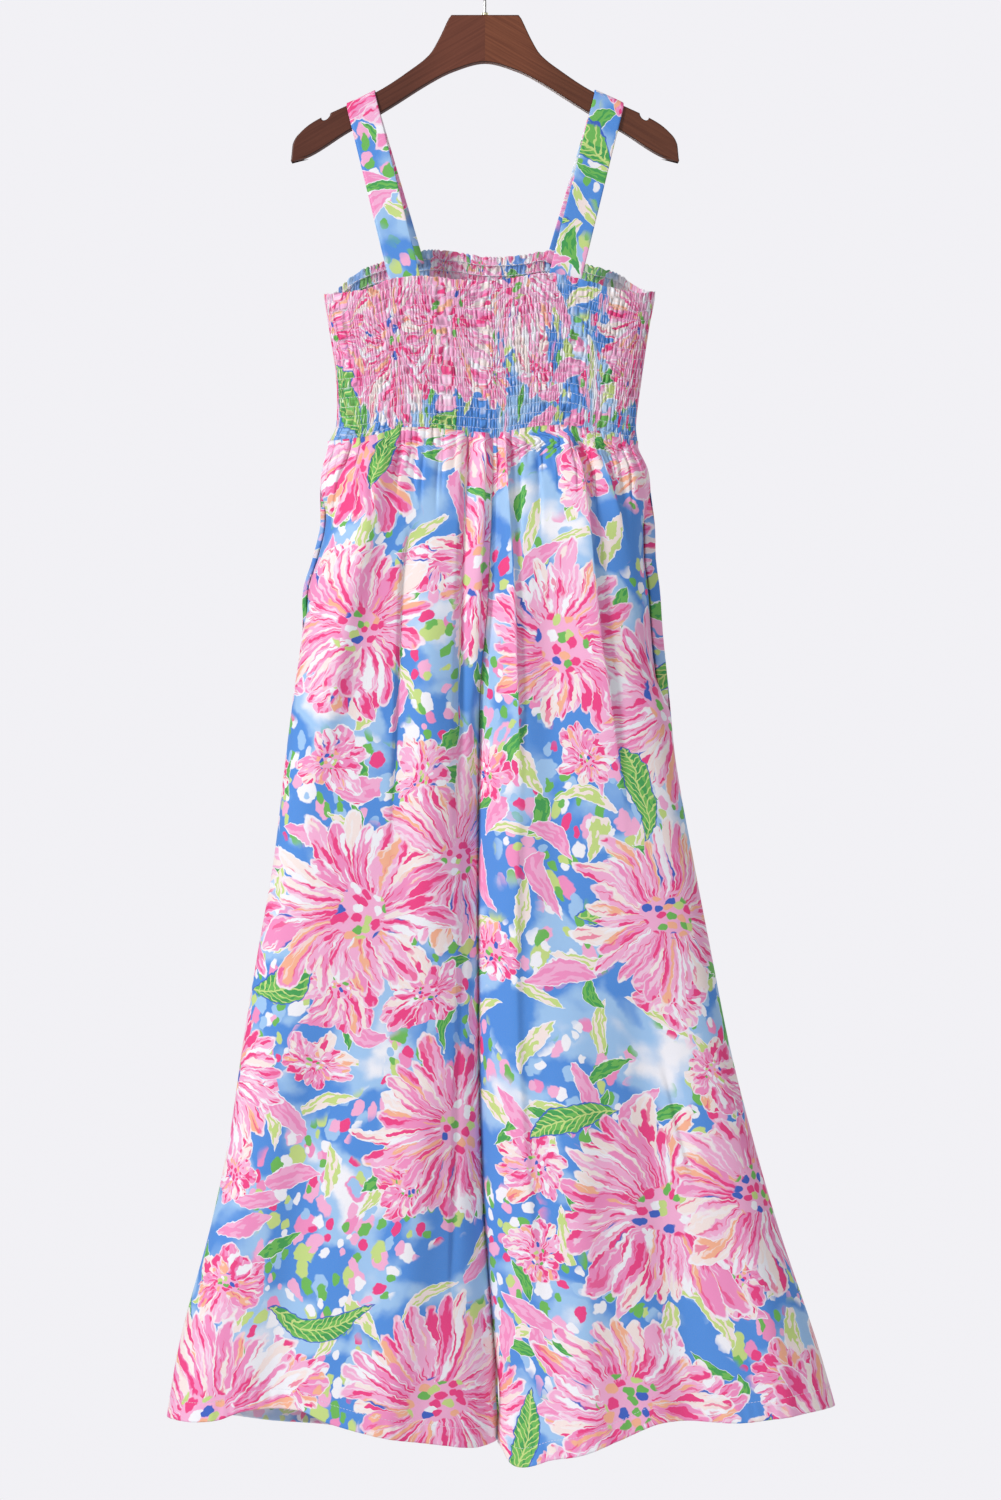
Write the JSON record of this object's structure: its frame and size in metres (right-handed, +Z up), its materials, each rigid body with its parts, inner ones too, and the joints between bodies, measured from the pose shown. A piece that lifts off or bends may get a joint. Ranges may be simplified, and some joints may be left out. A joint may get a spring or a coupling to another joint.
{
  "type": "jumpsuit on a hanger",
  "caption": "Sleeveless wide-leg jumpsuit with a shirred bodice, wide shoulder straps and in-seam pockets, hanging on a wooden hanger with a wire hook.",
  "frame": {"origin": "the point inside the top of the hanger's hook, where a rail carries it", "axes": "+Z up, the front of the garment faces -Y, +X is the wearer's left"},
  "size_m": [0.6679, 0.1138, 1.5093],
  "materials": {
    "print_cloth": "smooth woven, painterly floral print, soft sheen",
    "hanger_wood": "dark reddish brown, semi-gloss lacquer",
    "hook_steel": "plated wire",
    "collar_brass": "pale, polished"
  },
  "bodies": {
    "root": {"bodice_front": "print_cloth", "bodice_back": "print_cloth", "strap_left": "print_cloth", "strap_right": "print_cloth", "leg_left_front": "print_cloth", "leg_left_back": "print_cloth", "leg_right_front": "print_cloth", "leg_right_back": "print_cloth", "pocket_left": "print_cloth", "pocket_right": "print_cloth", "hanger_arm_left": "hanger_wood", "hanger_arm_right": "hanger_wood", "hanger_hook": "hook_steel", "hook_collar": "collar_brass"}
  },
  "joints": []
}
